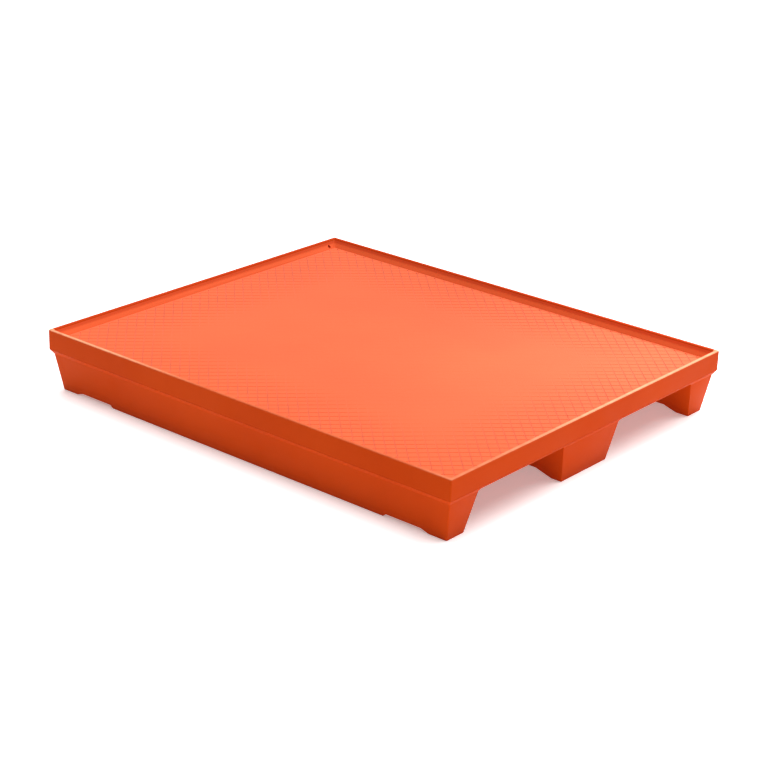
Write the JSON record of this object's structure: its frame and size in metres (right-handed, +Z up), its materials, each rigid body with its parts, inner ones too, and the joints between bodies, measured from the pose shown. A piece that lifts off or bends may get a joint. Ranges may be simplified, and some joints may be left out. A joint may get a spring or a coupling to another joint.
{
  "type": "spill containment pallet",
  "caption": "Closed-deck plastic pallet with a raised rim that holds spills, fork channels between full-length runners, and a corner drain plug.",
  "frame": {"origin": "centre of the underside, on the floor plane that the runners stand on", "axes": "+Z up; +X along the long sides and the fork channels; +Y along the short ends, with the drain at the -X, +Y corner"},
  "size_m": [1.2, 1, 0.15],
  "materials": {
    "orange_top_sheet": "matte",
    "orange_bottom_sheet": "matte",
    "rigid_foam": "matte",
    "galvanised_steel": "satin",
    "black_cap_plastic": "satin",
    "orange_plug_plastic": "satin",
    "brass": "satin",
    "black_rubber": "matte"
  },
  "bodies": {
    "pallet": {"deck_tray": "orange_top_sheet", "base_shell": "orange_bottom_sheet", "left_runner_core": "rigid_foam", "centre_runner_core": "rigid_foam", "right_runner_core": "rigid_foam", "deck_core_1": "rigid_foam", "deck_core_2": "rigid_foam", "deck_core_3": "rigid_foam", "deck_core_4": "rigid_foam", "deck_core_5": "rigid_foam", "left_runner_tube": "galvanised_steel", "centre_runner_tube": "galvanised_steel", "right_runner_tube": "galvanised_steel", "cross_tube_1": "galvanised_steel", "cross_tube_2": "galvanised_steel", "cross_tube_3": "galvanised_steel", "cross_tube_4": "galvanised_steel", "runner_tube_caps": "black_cap_plastic", "cross_tube_caps": "black_cap_plastic", "vent_plugs": "orange_plug_plastic", "drain_bush": "brass"},
    "drain_seal": {"drain_oring": "black_rubber"},
    "drain_plug": {"drain_plug": "brass"}
  },
  "joints": [
    {"name": "drain_plug_out", "type": "slide", "parent": "pallet", "child": "drain_seal", "axis": [-1, 0, 0], "range_m": [0, 0.00935]},
    {"name": "drain_plug_turn", "type": "hinge", "parent": "drain_seal", "child": "drain_plug", "pos_m": [-0.6, 0.462, 0.1345], "axis": [-1, 0, 0], "range_deg": [0, 2520]}
  ],
  "couplings": [
    {"joint": "drain_plug_turn", "follows": "drain_plug_out", "rad_per_m": 4699.5}
  ]
}
